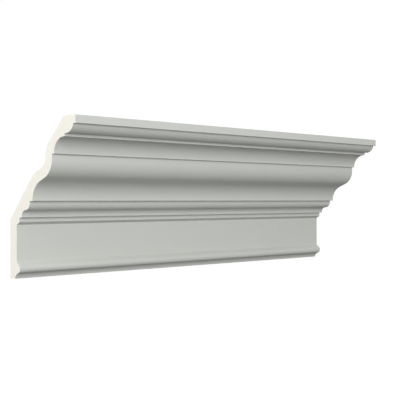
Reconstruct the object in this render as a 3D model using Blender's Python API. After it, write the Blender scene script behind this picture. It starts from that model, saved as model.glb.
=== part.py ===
"""Crown moulding of rigid foam: a large cyma cornice over a plain frieze band, cut square at both ends.

The frame is in metres. X runs along the moulding and is centred on it. Y = 0 is the wall, and the
moulded face looks towards -Y. Z is up. The origin is the middle of the flat back that bears on the wall.

The section is worked out in two directions: out, from the wall into the room, and up, from the
underside. Its members are stacked from the underside, each with a height of its own, and each one
steps or reaches out from the member below it.
"""
import math

import bmesh
import bpy
from mathutils import Vector

LENGTH = 0.803

# The base: a flat foot, a cove that rises to a bead, and a flare that eases the bead into the frieze.
# The bead is rounder below its nose than above it, and its crown runs back to the flare as a straight slope.
FOOT_SETBACK = 0.0052
BASE_COVE_RADIUS = 0.0133
BEAD_LEVEL = 0.0168
BEAD_RADIUS = 0.0073
BEAD_CROWN_RADIUS = 0.0083
BEAD_CROWN_SWEEP = math.radians(50)
BEAD_PROUD = 0.0094
FLARE_RADIUS = 0.0030

# The frieze: a plain upright band, as thick as the foam behind it
FRIEZE_THICKNESS = 0.0190
FRIEZE_HEIGHT = 0.0724

# The listel: a splay that leans out from the frieze, then a narrow upright band
SPLAY_REACH = 0.0078
SPLAY_HEIGHT = 0.0044
LISTEL_HEIGHT = 0.0075

# The small cyma: hollow below and full above, between a lip and a band that stand upright
SMALL_CYMA_STEP = 0.0070
SMALL_CYMA_REACH = 0.0224
SMALL_CYMA_RISE = 0.0219
SMALL_CYMA_LIP = 0.0022
SMALL_CYMA_BAND = 0.0031
SMALL_CYMA_HOLLOW = 0.0099

# The large cyma: the same form, with a straight run between its two curves
LARGE_CYMA_STEP = 0.0079
LARGE_CYMA_REACH = 0.0530
LARGE_CYMA_RISE = 0.0647
LARGE_CYMA_LIP = 0.0009
LARGE_CYMA_BAND = 0.0081
LARGE_CYMA_HOLLOW = 0.0330
LARGE_CYMA_STRAIGHT = 0.0150

# The cove: a hollow quarter under a narrow upright fillet
COVE_STEP = 0.0051
COVE_REACH = 0.0261
COVE_HEIGHT = 0.0258
FILLET_STEP = 0.0016
FILLET_HEIGHT = 0.0048

# The ovolo: a full quarter that hangs under the fascia
OVOLO_STEP = 0.0048
OVOLO_RADIUS = 0.0180
OVOLO_HEIGHT = 0.0141

# The fascia: the upright top edge
FASCIA_STEP = 0.0058
FASCIA_HEIGHT = 0.0129

# The back: what bears on the wall and on the ceiling, and the shell left between them
WALL_BEARING = 0.0977
CEILING_BEARING = 0.0305
SHELL_THICKNESS = 0.0183
BACK_CURVE_RADIUS = 0.0400

# How finely the curves are drawn, and the gap under which two points are one
ARC_STEP = math.radians(3)
SAME_POINT = 1e-6

# Faces that meet at more than this keep a crisp arris between them
CRISP_ANGLE = math.radians(20)

PAINT_COLOUR = (0.56, 0.57, 0.54, 1.0)
PAINT_ROUGHNESS = 0.55
FOAM_COLOUR = (0.87, 0.85, 0.77, 1.0)
FOAM_ROUGHNESS = 0.85

# Directions in the section, as angles
OUT = 0.0
UP = math.pi / 2
IN = math.pi
DOWN = -math.pi / 2


def polar(centre, radius, angle):
    """The point at an angle on a circle of the section."""
    return centre + radius * Vector((math.cos(angle), math.sin(angle)))


def angle_of(vector):
    """The direction of a vector, from -pi to pi."""
    return math.atan2(vector.y, vector.x)


def arc(centre, radius, start, end):
    """The points of an arc from one angle to another, both ends included."""
    steps = max(2, math.ceil(abs(end - start) / ARC_STEP))
    return [polar(centre, radius, start + (end - start) * i / steps) for i in range(steps + 1)]


def meeting(centre_a, radius_a, centre_b, radius_b):
    """The point at both radii from both centres that lies to the right of the way from a to b."""
    way = centre_b - centre_a
    along = (way.length_squared + radius_a ** 2 - radius_b ** 2) / (2 * way.length)
    aside = math.sqrt(radius_a ** 2 - along ** 2)
    forward = way.normalized()
    return centre_a + along * forward + aside * Vector((forward.y, -forward.x))


def touching(point, centre, radius, turn):
    """The angle on a circle where a line from an outer point touches it, on the side that turn gives."""
    away = point - centre
    return angle_of(away) + turn * math.acos(radius / away.length)


class Cyma:
    """Two arcs and the straight that touches both: hollow below, full above, upright at both ends.

    The two radii together are what the reach, the rise and the straight leave for them.
    """

    def __init__(self, foot, reach, rise, hollow_radius, straight):
        both_radii = (reach ** 2 + rise ** 2 - straight ** 2) / (2 * reach)
        self.hollow_radius = hollow_radius
        self.full_radius = both_radii - hollow_radius
        self.hollow_centre = foot + Vector((hollow_radius, 0))
        self.full_centre = foot + Vector((reach - self.full_radius, rise))
        line = self.full_centre - self.hollow_centre
        self.normal = angle_of(line) + math.atan2(straight, both_radii)

    def hollow(self, depth=0.0, start=IN):
        """The hollow arc from its low end up, on the face or at a depth behind it."""
        return arc(self.hollow_centre, self.hollow_radius + depth, start, self.normal)

    def full(self, depth=0.0):
        """The full arc from its low end up, on the face or at a depth behind it."""
        return arc(self.full_centre, self.full_radius - depth, self.normal - math.pi, OUT)


def base_points():
    """The foot's outer corner, the cove, the bead and the flare, up to where the plain frieze starts."""
    corner = Vector((FRIEZE_THICKNESS - FOOT_SETBACK, 0))
    nose = Vector((FRIEZE_THICKNESS + BEAD_PROUD, BEAD_LEVEL))
    bead = nose - Vector((BEAD_RADIUS, 0))
    crown = nose - Vector((BEAD_CROWN_RADIUS, 0))
    cove = meeting(corner, BASE_COVE_RADIUS, bead, BASE_COVE_RADIUS + BEAD_RADIUS)
    cove_to_bead = angle_of(bead - cove)
    slope = Vector((-math.sin(BEAD_CROWN_SWEEP), math.cos(BEAD_CROWN_SWEEP)))
    across = polar(crown, BEAD_CROWN_RADIUS + FLARE_RADIUS, BEAD_CROWN_SWEEP)
    flare = across + slope * (across.x - FRIEZE_THICKNESS - FLARE_RADIUS) / -slope.x
    points = arc(cove, BASE_COVE_RADIUS, angle_of(corner - cove), cove_to_bead)
    points += arc(bead, BEAD_RADIUS, cove_to_bead - math.pi, OUT)
    points += arc(crown, BEAD_CROWN_RADIUS, OUT, BEAD_CROWN_SWEEP)
    points += arc(flare, FLARE_RADIUS, BEAD_CROWN_SWEEP - math.pi, -math.pi)
    return points


def listel_points(at):
    """The splay and the upright band over the frieze."""
    splay_top = at + Vector((SPLAY_REACH, SPLAY_HEIGHT))
    return [at, splay_top, splay_top + Vector((0, LISTEL_HEIGHT))]


def cyma_points(at, step, lip, cyma_sizes, band):
    """A step out, a lip, the cyma and the band over it, and the cyma itself."""
    step_out = at + Vector((step, 0))
    cyma = Cyma(step_out + Vector((0, lip)), *cyma_sizes)
    points = [step_out] + cyma.hollow() + cyma.full()
    points.append(points[-1] + Vector((0, band)))
    return points, cyma


def cove_points(at):
    """A step out, the hollow quarter and the upright fillet over it."""
    foot = at + Vector((COVE_STEP, 0))
    centre = foot + Vector((COVE_REACH, 0))
    quarter = arc(Vector((0, 0)), 1, IN, UP)
    points = [centre + Vector((COVE_REACH * p.x, COVE_HEIGHT * p.y)) for p in quarter]
    points.append(points[-1] + Vector((FILLET_STEP, 0)))
    points.append(points[-1] + Vector((0, FILLET_HEIGHT)))
    return points


def cornice_top_points(at):
    """The ovolo and the fascia over it, up to the front edge of the ceiling bearing."""
    centre = at + Vector((OVOLO_STEP, OVOLO_RADIUS))
    sweep = math.acos(1 - OVOLO_HEIGHT / OVOLO_RADIUS)
    points = arc(centre, OVOLO_RADIUS, DOWN, DOWN + sweep)
    points.append(points[-1] + Vector((FASCIA_STEP, 0)))
    points.append(points[-1] + Vector((0, FASCIA_HEIGHT)))
    return points


def front_points():
    """The moulded face from the foot to the top of the fascia, and the large cyma, which the back follows."""
    points = base_points()
    points += listel_points(Vector((FRIEZE_THICKNESS, BEAD_LEVEL + FRIEZE_HEIGHT)))
    small_sizes = (SMALL_CYMA_REACH, SMALL_CYMA_RISE, SMALL_CYMA_HOLLOW, 0.0)
    small, _ = cyma_points(points[-1], SMALL_CYMA_STEP, SMALL_CYMA_LIP, small_sizes, SMALL_CYMA_BAND)
    points += small
    large_sizes = (LARGE_CYMA_REACH, LARGE_CYMA_RISE, LARGE_CYMA_HOLLOW, LARGE_CYMA_STRAIGHT)
    large, cyma = cyma_points(points[-1], LARGE_CYMA_STEP, LARGE_CYMA_LIP, large_sizes, LARGE_CYMA_BAND)
    points += large
    points += cove_points(points[-1])
    points += cornice_top_points(points[-1])
    return points, cyma


def back_points(top_edge, cyma):
    """The back, from the ceiling bearing down to the underside.

    It slopes from the ceiling bearing to a curve, follows the large cyma at the shell's thickness, and
    slopes on to the top of the wall bearing, touching each curve that it meets.
    """
    ceiling_corner = top_edge - Vector((CEILING_BEARING, 0))
    wall_corner = Vector((0, WALL_BEARING))
    full = cyma.full(SHELL_THICKNESS)
    curve = full[-1] + Vector((BACK_CURVE_RADIUS, 0))
    upper_touch = touching(ceiling_corner, curve, BACK_CURVE_RADIUS, 1)
    hollow_radius = cyma.hollow_radius + SHELL_THICKNESS
    lower_touch = touching(wall_corner, cyma.hollow_centre, hollow_radius, -1) % math.tau
    hollow = cyma.hollow(SHELL_THICKNESS, lower_touch)
    points = [ceiling_corner] + arc(curve, BACK_CURVE_RADIUS, upper_touch, IN)
    points += full[::-1] + hollow[::-1]
    points += [wall_corner, Vector((0, 0))]
    return points


def without_repeats(points):
    """The same points, less each one that the next one repeats."""
    return [p for p, q in zip(points, points[1:] + points[:1]) if (q - p).length > SAME_POINT]


def material(name, colour, roughness):
    """A plain surface of one colour."""
    made = bpy.data.materials.new(name)
    made.use_nodes = True
    shader = made.node_tree.nodes["Principled BSDF"]
    shader.inputs["Base Color"].default_value = colour
    shader.inputs["Roughness"].default_value = roughness
    shader.inputs["Metallic"].default_value = 0.0
    made.diffuse_color = colour
    return made


def crown_moulding():
    """The section, run along X: its face painted, its back and its cut ends bare foam."""
    front, cyma = front_points()
    front = without_repeats(front[:-1]) + front[-1:]
    back = without_repeats(back_points(front[-1], cyma))
    outline = front + back
    painted = len(front) - 1

    mesh = bpy.data.meshes.new("crown_moulding")
    mesh.materials.append(material("primed_face", PAINT_COLOUR, PAINT_ROUGHNESS))
    mesh.materials.append(material("bare_foam", FOAM_COLOUR, FOAM_ROUGHNESS))
    build = bmesh.new()
    left, right = (
        [build.verts.new((x, -p.x, p.y - WALL_BEARING / 2)) for p in outline]
        for x in (-LENGTH / 2, LENGTH / 2)
    )
    for i in range(len(outline)):
        j = (i + 1) % len(outline)
        side = build.faces.new((left[i], right[i], right[j], left[j]))
        side.material_index = 0 if i < painted else 1
    for end in (left, right):
        build.faces.new(end).material_index = 1
    bmesh.ops.recalc_face_normals(build, faces=build.faces)
    build.to_mesh(mesh)
    build.free()
    mesh.shade_smooth()
    mesh.set_sharp_from_angle(angle=CRISP_ANGLE)

    made = bpy.data.objects.new("crown_moulding", mesh)
    bpy.context.scene.collection.objects.link(made)
    return made


for old in list(bpy.data.objects):
    bpy.data.objects.remove(old)
crown_moulding()
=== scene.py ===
# %% [markdown]
# # A run of crown moulding in primed foam
# Crown moulding closes the corner between a wall and a ceiling. This one is cast in rigid foam. The face
# that shows is primed grey, and both ends are sawn square, so the cream foam shows there.
#
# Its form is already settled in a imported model, the frame, which holds every size. This script dresses it
# in three steps: it reads the section off the frame, runs it through Geometry Nodes to get the fine mesh,
# and gives the primed face, the sawn ends and the bare back a material each.

# %% Load the frame
import math

import bmesh
import bpy
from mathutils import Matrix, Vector


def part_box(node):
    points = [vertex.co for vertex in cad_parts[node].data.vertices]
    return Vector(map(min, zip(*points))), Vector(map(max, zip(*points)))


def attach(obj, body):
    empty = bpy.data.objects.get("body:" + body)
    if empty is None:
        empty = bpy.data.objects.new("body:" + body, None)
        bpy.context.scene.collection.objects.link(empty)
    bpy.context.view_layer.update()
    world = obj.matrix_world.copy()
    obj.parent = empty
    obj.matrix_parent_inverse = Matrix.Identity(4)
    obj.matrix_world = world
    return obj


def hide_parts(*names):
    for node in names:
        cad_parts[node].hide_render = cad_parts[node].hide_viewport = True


MM = 0.001
NODE = "crown_moulding"

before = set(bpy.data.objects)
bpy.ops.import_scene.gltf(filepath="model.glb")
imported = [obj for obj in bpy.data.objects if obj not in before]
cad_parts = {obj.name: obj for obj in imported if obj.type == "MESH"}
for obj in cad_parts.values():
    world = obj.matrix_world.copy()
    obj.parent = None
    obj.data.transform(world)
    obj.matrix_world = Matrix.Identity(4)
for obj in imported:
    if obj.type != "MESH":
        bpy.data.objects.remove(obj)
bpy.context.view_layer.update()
frame_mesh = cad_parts[NODE].data
low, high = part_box(NODE)
size = high - low
print(f"frame: {size.x / MM:.1f} long, {size.y / MM:.1f} deep, {size.z / MM:.1f} high, in mm")

# %% [markdown]
# ## The section
# A moulding is one section, run along a line, so the section is all that has to be drawn. It could be
# drawn again here, member by member, but then two drawings would have to agree. The frame's own sawn end
# has the section already: it is the ring of edges where the flat end meets the long sides.
#
# The frame's mesh is loose triangles, so a copy is merged first. An edge lies on the ring if both its
# points are on the end and one of its faces leaves the end.

# %% Read the section off the sawn end
SAME_PLACE = 0.002 * MM


def read_section(mesh, end_x):
    """The points round a flat end, as (out from the wall, up), from the underside's inner corner on."""
    copy = bmesh.new()
    copy.from_mesh(mesh)
    bmesh.ops.remove_doubles(copy, verts=copy.verts, dist=SAME_PLACE)
    on_end = {v for v in copy.verts if abs(v.co.x - end_x) < SAME_PLACE}
    beside = {}
    for edge in copy.edges:
        leaves_end = any(not on_end.issuperset(face.verts) for face in edge.link_faces)
        if leaves_end and on_end.issuperset(edge.verts):
            for vert in edge.verts:
                beside.setdefault(vert, []).append(edge.other_vert(vert))
    here = min(beside, key=lambda v: v.co.z - v.co.y)
    last = max(beside[here], key=lambda v: v.co.z)
    ring = []
    while len(ring) < len(beside):
        ring.append(Vector((-here.co.y, here.co.z)))
        here, last = next(v for v in beside[here] if v != last), here
    copy.free()
    return ring


section = read_section(frame_mesh, low.x)
print(f"section: {len(section)} points, first {tuple(round(c / MM, 1) for c in section[0])} mm")

# %% [markdown]
# ## Which part of the section is the face
# Primer is sprayed on what shows once the moulding is up: from the outer corner of the foot, up over every
# member, to the top of the fascia. The ring starts at the wall and runs along the underside first, so its
# second point is that outer corner, and the face ends at the highest of the points that stand furthest out.

# %% Mark the face
first_painted = 1
last_painted = max(range(len(section)), key=lambda i: (round(section[i].x / SAME_PLACE), section[i].y))
painted = [first_painted <= i <= last_painted for i in range(len(section))]
print(f"face: points {first_painted} to {last_painted}")

# %% [markdown]
# ## Soft corners
# A knife-sharp edge gives a render away, because a real edge always turns through some small radius and
# catches a thread of light. Casting rounds the outer corners a little, and primer gathers in the inner ones.
#
# A Bevel modifier could do this, but the curved members are made of short facets, and it would have to be
# told which edges to leave alone. In the section the corners are plain to see: they are the points where
# the outline turns sharply. Each one is swapped for a short arc that touches both its neighbours, and that
# never takes more than its share of a short facet.

# %% Soften the corners
CORNER_TURN = math.radians(20)
FACE_RADIUS = 0.5 * MM
HOLLOW_RADIUS = 0.35 * MM
BACK_RADIUS = 0.5 * MM
FACET_SHARE = 0.45
CORNER_STEP = math.radians(18)


def turn_at(before, here, after):
    """How far an outline turns at a point, positive to the left."""
    into, onward = here - before, after - here
    return math.atan2(into.x * onward.y - into.y * onward.x, into.dot(onward))


def corner_arc(before, here, after, radius):
    """A short arc in place of a corner, touching both of the edges that met there."""
    turn = turn_at(before, here, after)
    into, onward = here - before, after - here
    room = FACET_SHARE * min(into.length, onward.length)
    back_off = min(radius * math.tan(abs(turn) / 2), room)
    reach = back_off / math.tan(abs(turn) / 2)
    start = here - into.normalized() * back_off
    heading = math.atan2(into.y, into.x)
    side = math.copysign(1, turn)
    centre = start + side * reach * Vector((-math.sin(heading), math.cos(heading)))
    steps = math.ceil(abs(turn) / CORNER_STEP)
    angles = [heading - side * math.pi / 2 + turn * i / steps for i in range(steps + 1)]
    return [centre + reach * Vector((math.cos(a), math.sin(a))) for a in angles]


def soften(points, on_face):
    """The outline with an arc at every corner, and for each new point whether it is on the face."""
    soft, soft_on_face = [], []
    for i, here in enumerate(points):
        before, after = points[i - 1], points[(i + 1) % len(points)]
        turn = turn_at(before, here, after)
        new = [here]
        if abs(turn) > CORNER_TURN:
            radius = (FACE_RADIUS if turn > 0 else HOLLOW_RADIUS) if on_face[i] else BACK_RADIUS
            new = corner_arc(before, here, after, radius)
        soft += new
        soft_on_face += [on_face[i]] * len(new)
    return soft, soft_on_face


outline, outline_on_face = soften(section, painted)
print(f"softened: {len(section)} points became {len(outline)}")

# %% [markdown]
# ## A helper for node trees
# Node trees are wordy to build in code: add a node, set it up, fill its sockets, link it on. Two small
# classes keep that short. The first, a Wire, is the output of a node. It adds Math nodes when it is used in
# a sum, so that `1 - mask * 0.2` reads as it would on paper.

# %% A wire
class Wire:
    """One output of a node. Arithmetic on it adds Math nodes."""

    def __init__(self, graph, socket):
        self.graph = graph
        self.socket = socket

    def maths(self, operation, first, second):
        return self.graph.add("ShaderNodeMath", {"operation": operation}, {0: first, 1: second})

    def __add__(self, other):
        return self.maths("ADD", self, other)

    def __radd__(self, other):
        return self.maths("ADD", other, self)

    def __sub__(self, other):
        return self.maths("SUBTRACT", self, other)

    def __rsub__(self, other):
        return self.maths("SUBTRACT", other, self)

    def __mul__(self, other):
        return self.maths("MULTIPLY", self, other)

    def __rmul__(self, other):
        return self.maths("MULTIPLY", other, self)

    def __gt__(self, other):
        return self.maths("GREATER_THAN", self, other)

    def __lt__(self, other):
        return self.maths("LESS_THAN", self, other)

    def __abs__(self):
        return self.maths("ABSOLUTE", self, 0.0)


print("helper: Wire, for arithmetic")

# %% [markdown]
# The second, a Graph, adds any other node: it takes the kind of node, its settings, and the values or Wires
# of its sockets.

# %% A graph
class Graph:
    """A node tree and the one method that adds to it."""

    def __init__(self, tree):
        self.tree = tree

    def add(self, kind, settings=None, inputs=None, output=0):
        """Adds a node and gives back one of its outputs as a Wire."""
        node = self.tree.nodes.new(kind)
        for name, value in (settings or {}).items():
            setattr(node, name, value)
        for name, value in (inputs or {}).items():
            if isinstance(value, Wire):
                self.tree.links.new(value.socket, node.inputs[name])
            else:
                node.inputs[name].default_value = value
        return Wire(self, node.outputs[output]) if node.outputs else node


print("helper: Graph, for every other node")

# %% [markdown]
# ## The run, in Geometry Nodes
# The section could be extruded, but a moulding is a sweep: a section carried along a rail. Curve to Mesh
# does just that, and with its inputs named the same tree serves any length. The modifier goes on a ring of
# edges that holds the section, with the face marked in an attribute, which the sweep hands on to the mesh.
#
# On a rail that runs along +X, Curve to Mesh lays the ring's X towards -Y, out from the wall, and its Y
# downwards, so the ring is drawn with its heights turned over.

# %% Lay the section out as a ring of edges
def ring_mesh(points, on_face):
    """A closed ring of edges in the XY plane, with the attribute that marks the face."""
    mesh = bpy.data.meshes.new(NODE + "_section")
    edges = [(i, (i + 1) % len(points)) for i in range(len(points))]
    mesh.from_pydata([(p.x, -p.y, 0.0) for p in points], edges, [])
    mark = mesh.attributes.new("on_face", "FLOAT", "POINT")
    mark.data.foreach_set("value", [float(flag) for flag in on_face])
    return mesh


moulding = bpy.data.objects.new("primed_moulding", ring_mesh(outline, outline_on_face))
bpy.context.scene.collection.objects.link(moulding)
print(f"ring: {len(moulding.data.edges)} edges, {sum(outline_on_face)} points on the face")

# %% [markdown]
# The tree has three jobs: sweep the ring along the rail with both ends filled, keep the corners of the ends
# crisp while all else shades smooth, and hand out the materials. An end is known by its normal, which
# points along X. The face is known by its attribute: a strip is painted only if both its sides are marked.
#
# With its heights turned over, the ring runs round the other way, so the sweep's faces look inwards. A
# render hides that, because it shades both sides of a face, but whoever uses the mesh later would get it
# inside out. Flip Faces turns them outwards.

# %% Build the sweep
SHARP_ANGLE = math.radians(40)
ALONG_X = 0.9
BOTH_SIDES = 0.99


def sweep_tree():
    """Geometry Nodes that run a section along X, from one end of the moulding to the other."""
    tree = bpy.data.node_groups.new("Run of moulding", "GeometryNodeTree")
    new_socket = tree.interface.new_socket
    new_socket("Section", in_out="INPUT", socket_type="NodeSocketGeometry")
    new_socket("Start", in_out="INPUT", socket_type="NodeSocketVector")
    new_socket("End", in_out="INPUT", socket_type="NodeSocketVector")
    new_socket("Stations", in_out="INPUT", socket_type="NodeSocketInt")
    new_socket("Primer", in_out="INPUT", socket_type="NodeSocketMaterial")
    new_socket("Sawn foam", in_out="INPUT", socket_type="NodeSocketMaterial")
    new_socket("Back skin", in_out="INPUT", socket_type="NodeSocketMaterial")
    new_socket("Geometry", in_out="OUTPUT", socket_type="NodeSocketGeometry")
    graph = Graph(tree)
    group = tree.nodes.new("NodeGroupInput")
    given = {socket.name: Wire(graph, socket) for socket in group.outputs}

    rail = graph.add("GeometryNodeCurvePrimitiveLine", inputs={"Start": given["Start"], "End": given["End"]})
    rail = graph.add("GeometryNodeResampleCurve", inputs={"Curve": rail, "Count": given["Stations"]})
    rail = graph.add("GeometryNodeSetCurveNormal", {"mode": "Z_UP"}, {"Curve": rail})
    ring = graph.add("GeometryNodeMeshToCurve", inputs={"Mesh": given["Section"]})
    run = graph.add(
        "GeometryNodeCurveToMesh", inputs={"Curve": rail, "Profile Curve": ring, "Fill Caps": True}
    )
    run = graph.add("GeometryNodeFlipFaces", inputs={"Mesh": run})
    run = graph.add("GeometryNodeSetShadeSmooth", inputs={"Geometry": run, "Shade Smooth": True})
    fold = graph.add("GeometryNodeInputMeshEdgeAngle")
    run = graph.add(
        "GeometryNodeSetShadeSmooth",
        {"domain": "EDGE"},
        {"Geometry": run, "Selection": fold > SHARP_ANGLE, "Shade Smooth": False},
    )

    normal = graph.add("GeometryNodeInputNormal")
    along = abs(graph.add("ShaderNodeSeparateXYZ", inputs={"Vector": normal}, output="X"))
    mark = graph.add("GeometryNodeInputNamedAttribute", {"data_type": "FLOAT"}, {"Name": "on_face"})
    run = graph.add("GeometryNodeRealizeInstances", inputs={"Geometry": run})
    run = graph.add("GeometryNodeSetMaterial", inputs={"Geometry": run, "Material": given["Back skin"]})
    for selection, name in ((mark > BOTH_SIDES, "Primer"), (along > ALONG_X, "Sawn foam")):
        run = graph.add(
            "GeometryNodeSetMaterial",
            inputs={"Geometry": run, "Selection": selection, "Material": given[name]},
        )
    graph.add("NodeGroupOutput", inputs={"Geometry": run})
    return tree


sweep = sweep_tree()
print(f"sweep: {len(sweep.nodes)} nodes")

# %% [markdown]
# ## Helpers for the materials
# All three finishes here are built alike: a base colour that is made a little lighter or darker over the
# surface, and a height that the shader turns into bumps. What differs is the noise behind them, so the
# helpers below take sizes in metres, as they would be measured on the real thing.
#
# Every pattern reads Object coordinates. The moulding's object sits at the origin and is never scaled, so a
# grain of 1 mm stays 1 mm, and the pattern needs no unwrapping.

# %% A start for every material
def new_material(name, constants):
    """A material with its shader's constants set, its graph, and the place on the object as a Wire."""
    made = bpy.data.materials.new(name)
    made.use_nodes = True
    shader = made.node_tree.nodes["Principled BSDF"]
    for socket, value in constants.items():
        shader.inputs[socket].default_value = value
    graph = Graph(made.node_tree)
    place = graph.add("ShaderNodeTexCoord", output="Object")
    return made, shader, graph, place


def feed(shader, socket, wire):
    """Links a Wire to one of the shader's sockets."""
    wire.graph.tree.links.new(wire.socket, shader.inputs[socket])


def tinted(graph, colour, amount):
    """A colour made lighter or darker by a share that changes over the surface."""
    light = graph.add("ShaderNodeCombineXYZ", inputs={"X": amount, "Y": amount, "Z": amount})
    return graph.add("ShaderNodeVectorMath", {"operation": "MULTIPLY"}, {0: colour, 1: light})


def bump(graph, shader, height, depth):
    """Feeds the shader's normal from a height between about nought and one, depth metres tall."""
    inputs = {"Height": height, "Distance": depth, "Strength": 1.0}
    feed(shader, "Normal", graph.add("ShaderNodeBump", inputs=inputs))


print("helpers: a material's start, a tint and a bump")

# %% [markdown]
# Two kinds of pattern do for all three finishes. Noise gives what drifts, such as clouds, streaks and orange
# peel, and stretching it along an axis turns its lumps into streaks. Voronoi cells give what is scattered:
# each cell has one middle, so the distance to it draws a round spot, and the cell's random colour decides
# whether that spot is kept.

# %% Noise and spots
NOISE_MIDDLE = 0.5


def noise(graph, place, grain, detail=2.0, stretch=(1, 1, 1)):
    """Noise centred on nought, with lumps of about a grain's size, stretched along an axis if need be."""
    scale = [1 / (grain * s) for s in stretch]
    scaled = graph.add("ShaderNodeMapping", inputs={"Vector": place, "Scale": scale})
    settings = {"noise_dimensions": "3D"}
    inputs = {"Vector": scaled, "Scale": 1.0, "Detail": detail}
    return graph.add("ShaderNodeTexNoise", settings, inputs) - NOISE_MIDDLE


def cells(graph, place, spacing, output="Distance"):
    """Voronoi cells a given distance apart."""
    return graph.add("ShaderNodeTexVoronoi", inputs={"Vector": place, "Scale": 1 / spacing}, output=output)


def spots(graph, place, spacing, radius, kept):
    """A mask of round spots, one to a cell, of which only a share is kept."""
    lot = graph.add("ShaderNodeSeparateColor", inputs={"Color": cells(graph, place, spacing, "Color")})
    return (cells(graph, place, spacing) < radius / spacing) * (lot < kept)


print("patterns: noise, cells and spots")

# %% [markdown]
# ## The primed face
# The primer is a flat grey paint with a touch of green in it, sprayed on foam. Up close it has a fine
# orange peel, the broad clouds of a sprayed coat, and faint streaks along the run where it was wiped down.
# All of that is slight: from across a room the face is one even grey, and only its forms show.
#
# A single colour with noise in its bump would do from afar. Here each of the three has its own scale, and
# the streaks are noise stretched along X, because the mould and the hand that wiped it both ran that way.

# %% The primer
PRIMER = (0.565, 0.578, 0.545)
PRIMER_ROUGHNESS = 0.58
PLASTIC_IOR = 1.45
PEEL_GRAIN = 1.3 * MM
PEEL_TINT = 0.010
PEEL_ROUGHNESS = 0.08
PEEL_DEPTH = 0.03 * MM
CLOUD_GRAIN = 55 * MM
CLOUD_TINT = 0.020
CLOUD_ROUGHNESS = 0.10
STREAK_GRAIN = 2.5 * MM
STREAK_STRETCH = 90
STREAK_TINT = 0.012
STREAK_HEIGHT = 0.5


def primer_material():
    """Flat grey primer: orange peel, broad clouds and faint streaks along the run."""
    made, shader, graph, place = new_material("grey_primer", {"Metallic": 0.0, "IOR": PLASTIC_IOR})
    clouds = noise(graph, place, CLOUD_GRAIN)
    streaks = noise(graph, place, STREAK_GRAIN, stretch=(STREAK_STRETCH, 1, 1))
    peel = noise(graph, place, PEEL_GRAIN)
    light = 1 + clouds * CLOUD_TINT + streaks * STREAK_TINT + peel * PEEL_TINT
    feed(shader, "Base Color", tinted(graph, PRIMER, light))
    feed(shader, "Roughness", PRIMER_ROUGHNESS + clouds * CLOUD_ROUGHNESS + peel * PEEL_ROUGHNESS)
    bump(graph, shader, peel + streaks * STREAK_HEIGHT, PEEL_DEPTH)
    return made


primer = primer_material()
print(f"primer: {len(primer.node_tree.nodes)} nodes")

# %% [markdown]
# ## The sawn ends
# Rigid foam is cast from two liquids that froth and set, so a cut through it shows closed cells, most of
# them too fine to see, with a larger bubble here and there. The saw leaves faint lines too, leaning a
# little, and the cream colour clouds slightly where the froth was denser.
#
# Voronoi noise is the natural choice for cells: each cell is a bubble, and the distance from its middle
# makes the cup that the saw opened. The larger bubbles are spots on a wider spacing.
# The bubbles are darkened in colour with painted shade, for the shadow inside each open cup.

# %% The sawn foam
FOAM = (0.872, 0.852, 0.772)
FOAM_ROUGHNESS = 0.9
FOAM_LIGHT = 1.01
CELL = 0.55 * MM
CELL_TINT = 0.03
CELL_HEIGHT = 0.6
CELL_DEPTH = 0.12 * MM
BUBBLE_SPACING = 3.2 * MM
BUBBLE_RADIUS = 0.45 * MM
BUBBLES_KEPT = 0.55
# painted shade: how much darker the open bubbles are drawn
BUBBLE_SHADE = 0.22
FROTH_GRAIN = 9 * MM
FROTH_TINT = 0.035
SAW_LINES = 1.1 * MM
SAW_STRETCH = (30, 1, 60)
SAW_LEAN = math.radians(12)
SAW_TINT = 0.012
SAW_HEIGHT = 0.5


def sawn_material():
    """Bare foam cut by a saw: fine cells, a few bubbles darkened with painted shade, leaning saw lines,
    cloudy cream.
    """
    constants = {"Metallic": 0.0, "Roughness": FOAM_ROUGHNESS}
    made, shader, graph, place = new_material("sawn_foam", constants)
    fine = cells(graph, place, CELL)
    bubbles = spots(graph, place, BUBBLE_SPACING, BUBBLE_RADIUS, BUBBLES_KEPT)
    froth = noise(graph, place, FROTH_GRAIN)
    leaning = graph.add("ShaderNodeMapping", inputs={"Vector": place, "Rotation": (SAW_LEAN, 0, 0)})
    lines = noise(graph, leaning, SAW_LINES, stretch=SAW_STRETCH)
    # BUBBLE_SHADE is painted shade: the open bubbles are darkened for the shadow inside them.
    light = FOAM_LIGHT - fine * CELL_TINT - bubbles * BUBBLE_SHADE + froth * FROTH_TINT + lines * SAW_TINT
    feed(shader, "Base Color", tinted(graph, FOAM, light))
    bump(graph, shader, lines * SAW_HEIGHT - fine * CELL_HEIGHT - bubbles, CELL_DEPTH)
    return made


sawn = sawn_material()
print(f"sawn foam: {len(sawn.node_tree.nodes)} nodes")

# %% [markdown]
# ## The back
# The back is foam as it left the mould: a thin skin, a shade darker and yellower than the sawn foam. The
# froth ran along the mould before it set, so its flow marks are long and lie along the run, with broad
# clouds of colour between them. Trapped air left pinholes, and here and there a shallow blister.
# The pinholes are darkened in colour with painted shade, for the shadow inside each hole.

# %% The back skin, as moulded
SKIN = (0.80, 0.765, 0.665)
SKIN_ROUGHNESS = 0.62
SKIN_DEPTH = 0.15 * MM
FLOW_GRAIN = 6 * MM
FLOW_STRETCH = 14
FLOW_TINT = 0.14
FLOW_ROUGHNESS = 0.25
FLOW_HEIGHT = 1.2
SKIN_CLOUD_GRAIN = 40 * MM
SKIN_CLOUD_TINT = 0.16
PINHOLE_SPACING = 11 * MM
PINHOLE_RADIUS = 0.5 * MM
# painted shade: how much darker the pinholes are drawn
PINHOLE_SHADE = 0.35
BLISTER_SPACING = 38 * MM
BLISTER_RADIUS = 2.2 * MM
BLISTER_TINT = 0.06
BLISTER_HEIGHT = 0.6
FLAWS_KEPT = 0.6


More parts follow.
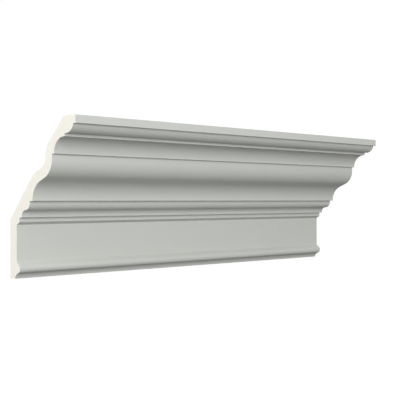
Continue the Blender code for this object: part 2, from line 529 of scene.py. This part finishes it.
def moulded_skin(graph, shader, place):
    """The colour of bare moulded foam, with painted shade in the pinholes. Sets its roughness and bumps on
    the way.
    """
    flow = noise(graph, place, FLOW_GRAIN, detail=3.0, stretch=(FLOW_STRETCH, 1, 1))
    clouds = noise(graph, place, SKIN_CLOUD_GRAIN)
    pinholes = spots(graph, place, PINHOLE_SPACING, PINHOLE_RADIUS, FLAWS_KEPT)
    blisters = spots(graph, place, BLISTER_SPACING, BLISTER_RADIUS, FLAWS_KEPT)
    feed(shader, "Roughness", SKIN_ROUGHNESS + flow * FLOW_ROUGHNESS)
    bump(graph, shader, flow * FLOW_HEIGHT - pinholes - blisters * BLISTER_HEIGHT, SKIN_DEPTH)
    drifting = 1 + flow * FLOW_TINT + clouds * SKIN_CLOUD_TINT
    # PINHOLE_SHADE is painted shade: the pinholes are darkened for the shadow inside them.
    return tinted(graph, SKIN, drifting - pinholes * PINHOLE_SHADE - blisters * BLISTER_TINT)


print("skin: flow marks, clouds, pinholes and blisters")

# %% [markdown]
# The spray that primed the face drifted a few millimetres over its two edges, onto the top and the
# underside. That drift is a mask on the distance from the face's edge, broken up with noise. The top and the
# underside end at different distances from the wall, so the mask measures each from its own edge.
#
# A Mix node has sockets of the same name for numbers, vectors and colours, so those for colours go by number.

# %% The drift of primer over the two edges
DRIFT = 7 * MM
DRIFT_GRAIN = 3 * MM
DRIFT_RAGGED = 0.9
MIX_FROM = 6
MIX_TO = 7
MIX_RESULT = 2
fascia_y = -section[last_painted].x
foot_y = -section[first_painted].x
middle = (low + high) / 2


def drift_mask(graph, place):
    """One by the edges of the face, fading to nought over the drift, on the top and the underside alone."""
    y = graph.add("ShaderNodeSeparateXYZ", inputs={"Vector": place}, output="Y")
    z = graph.add("ShaderNodeSeparateXYZ", inputs={"Vector": place}, output="Z")
    is_top = z > middle.z
    from_edge = y - (fascia_y * is_top + foot_y * (1 - is_top))
    is_level = (z > high.z - BACK_RADIUS) + (z < low.z + BACK_RADIUS)
    ragged = noise(graph, place, DRIFT_GRAIN, detail=4.0) * DRIFT_RAGGED
    fade = graph.add(
        "ShaderNodeMapRange",
        {"interpolation_type": "SMOOTHSTEP"},
        {"Value": from_edge * (1 / DRIFT) + ragged, "From Min": 1.0, "From Max": 0.0},
    )
    return fade * is_level


def skin_material():
    """Bare moulded foam with a drift of primer along two of its edges."""
    made, shader, graph, place = new_material("back_skin", {"Metallic": 0.0, "IOR": PLASTIC_IOR})
    bare = moulded_skin(graph, shader, place)
    colour = graph.add(
        "ShaderNodeMix",
        {"data_type": "RGBA"},
        {"Factor": drift_mask(graph, place), MIX_FROM: bare, MIX_TO: (*PRIMER, 1.0)},
        output=MIX_RESULT,
    )
    feed(shader, "Base Color", colour)
    return made


skin = skin_material()
print(f"back skin: {len(skin.node_tree.nodes)} nodes")

# %% [markdown]
# ## From nodes to a plain mesh
# The modifier's inputs are set through their sockets' identifiers, then the result is taken as a plain mesh.
# Before that, a Weighted Normal modifier lets the broad flats keep their own direction. Without it, each
# flat would share its edge normals with the small arc beside it, and shade as if it were bulging.

# %% Run the section
STATIONS = 41


def set_inputs(modifier, values):
    """Sets a Geometry Nodes modifier's inputs, given by name, through their identifiers."""
    for item in modifier.node_group.interface.items_tree:
        if item.in_out == "INPUT" and item.name in values:
            modifier[item.identifier] = values[item.name]


def made_plain(piece):
    """Swaps a piece's modifiers for the mesh that they make."""
    shown = piece.evaluated_get(bpy.context.evaluated_depsgraph_get())
    plain = bpy.data.meshes.new_from_object(shown)
    piece.modifiers.clear()
    piece.data = plain
    plain.name = piece.name
    return plain


run = moulding.modifiers.new("Run of moulding", "NODES")
run.node_group = sweep
set_inputs(run, {
    "Start": (low.x, 0.0, 0.0),
    "End": (high.x, 0.0, 0.0),
    "Stations": STATIONS,
    "Primer": primer,
    "Sawn foam": sawn,
    "Back skin": skin,
})
flats = moulding.modifiers.new("Flats stay flat", "WEIGHTED_NORMAL")
flats.keep_sharp = True
mesh = made_plain(moulding)
print(f"run: {len(mesh.polygons)} faces, materials {[m.name for m in mesh.materials]}")

# %% [markdown]
# The volume inside the mesh tells whether it came out right. It should come close to the frame's, and it
# would be negative if the faces looked inwards.

# %% Measure the volume inside
LITRE = 0.001


def litres_inside(mesh):
    """The volume inside a closed mesh, negative if its faces look inwards."""
    copy = bmesh.new()
    copy.from_mesh(mesh)
    litres = copy.calc_volume(signed=True) / LITRE
    copy.free()
    return litres


print(f"inside: {litres_inside(mesh):.2f} litres, in the frame {litres_inside(frame_mesh):.2f}")

# %% [markdown]
# ## Into the frame's place
# The dressed moulding rides on the frame's one body and stands for its one node, which is then hidden.

# %% Hand the piece to the frame
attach(moulding, "root")
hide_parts(NODE)
print("the dressed moulding stands for", NODE)

# %% [markdown]
# ## The studio
# The moulding hangs where a wall and a ceiling would hold it, so the pale floor lies a room's height below
# it, where it also leaves room for a camera that looks up. In the photograph nothing but white shows round
# the moulding, so the floor glows a little to reach that white. It is kept out of the bounced light, or it
# would fill the undersides that draw the members.

# %% The floor
FLOOR_DROP = 2.2
FLOOR_RADIUS = 40.0
FLOOR_SIDES = 96
FLOOR_COLOUR = (0.93, 0.93, 0.92, 1.0)
FLOOR_ROUGHNESS = 0.8
FLOOR_GLOW = 0.575
WHITE_LIGHT = (1.0, 1.0, 1.0, 1.0)


def pale_floor():
    """A wide pale disc, the floor of the stage."""
    mesh = bpy.data.meshes.new("floor")
    disc = bmesh.new()
    bmesh.ops.create_circle(disc, cap_ends=True, segments=FLOOR_SIDES, radius=FLOOR_RADIUS)
    bmesh.ops.translate(disc, verts=disc.verts, vec=(0.0, 0.0, low.z - FLOOR_DROP))
    disc.to_mesh(mesh)
    disc.free()
    constants = {
        "Base Color": FLOOR_COLOUR,
        "Roughness": FLOOR_ROUGHNESS,
        "Emission Color": WHITE_LIGHT,
        "Emission Strength": FLOOR_GLOW,
    }
    mesh.materials.append(new_material("pale_floor", constants)[0])
    made = bpy.data.objects.new("floor", mesh)
    made.visible_diffuse = False
    made.visible_glossy = False
    bpy.context.scene.collection.objects.link(made)
    return made


pale_floor()
print(f"floor: {FLOOR_DROP} m below the moulding")

# %% [markdown]
# ## The light
# A moulding is drawn by its shadows. Every member leans in or out, and a face that leans out looks down and
# takes less light, so the sky is bright above and dim below. The camera itself sees plain white behind the
# moulding.

# %% The sky
SKY = 0.482
GROUND = 0.179
BACKDROP = 1.02
DIM_BELOW = -0.35
BRIGHT_ABOVE = 0.25


def studio_sky():
    """A world that is bright above, dim below and white to the camera."""
    world = bpy.data.worlds.new("studio")
    world.use_nodes = True
    world.node_tree.nodes.clear()
    graph = Graph(world.node_tree)
    way = graph.add("ShaderNodeTexCoord", output="Generated")
    height = graph.add("ShaderNodeSeparateXYZ", inputs={"Vector": way}, output="Z")
    heights = {"From Min": DIM_BELOW, "From Max": BRIGHT_ABOVE}
    strength = graph.add(
        "ShaderNodeMapRange",
        {"interpolation_type": "SMOOTHSTEP"},
        {"Value": height, **heights, "To Min": GROUND, "To Max": SKY},
    )
    seen = graph.add("ShaderNodeLightPath", output="Is Camera Ray")
    light = graph.add(
        "ShaderNodeBackground",
        inputs={"Color": WHITE_LIGHT, "Strength": strength * (1 - seen) + seen * BACKDROP},
    )
    graph.add("ShaderNodeOutputWorld", inputs={"Surface": light})
    bpy.context.scene.world = world


studio_sky()
print("sky:", SKY, "above and", GROUND, "below")

# %% [markdown]
# Soft boxes do the rest. The key stands at the near end, high and to the left, and being closer to that
# end it lets the face fall off a little along the run, as the photograph shows. A second one in front
# lights the upright bands. A third hangs beyond the near end, so high that the members shade most of the
# run from it: it reaches the top of the bead by that end alone, and there the photograph is brightest. One
# more looks at each sawn end, and one behind serves the views of the back.

# %% The soft boxes
BOX_SIZE = 1.5
SOFT_BOXES = {
    "key": ((-2.0, -2.4, 1.0), 38.9),
    "front": ((-0.4, -2.6, 0.3), 26.2),
    "overhead": ((-2.4, -0.3, 1.5), 15.7),
    "near_end": ((-2.6, 0.4, -0.3), 16.7),
    "far_end": ((2.6, 0.9, 0.3), 26.2),
    "behind": ((0.6, 2.6, 0.8), 34.0),
}


def soft_box(name, place, power):
    """A square lamp at a place given from the moulding's middle, turned to that middle."""
    lamp = bpy.data.lights.new(name, "AREA")
    lamp.shape = "SQUARE"
    lamp.size = BOX_SIZE
    lamp.energy = power
    made = bpy.data.objects.new(name, lamp)
    made.location = middle + Vector(place)
    made.rotation_euler = Vector(place).to_track_quat("Z", "Y").to_euler()
    bpy.context.scene.collection.objects.link(made)


for name, (place, power) in SOFT_BOXES.items():
    soft_box(name, place, power)
bpy.context.scene.view_settings.view_transform = "Standard"
print(f"{len(SOFT_BOXES)} soft boxes, plain view transform")

# %% [markdown]
# ## The camera
# In the photograph the long lines run to one vanishing point at the height of the picture's middle, so the
# camera is level, and it looks at the run at 45 degrees. The sizes of the two ends then give its place.

# %% The camera
CAMERA_BEFORE_END = 0.8038
CAMERA_FROM_WALL = 1.2481
CAMERA_TURN = math.radians(-45)
SENSOR = 36.0
FRAME_PIXELS = 400
FOCAL_PIXELS = 876

camera = bpy.data.objects.new("camera", bpy.data.cameras.new("camera"))
camera.data.sensor_width = SENSOR
camera.data.lens = SENSOR * FOCAL_PIXELS / FRAME_PIXELS
camera.location = (low.x - CAMERA_BEFORE_END, -CAMERA_FROM_WALL, middle.z)
camera.rotation_euler = (math.pi / 2, 0.0, CAMERA_TURN)
bpy.context.scene.collection.objects.link(camera)
bpy.context.scene.camera = camera
print(f"camera: {camera.data.lens:.1f} mm lens at {tuple(round(c, 3) for c in camera.location)}")
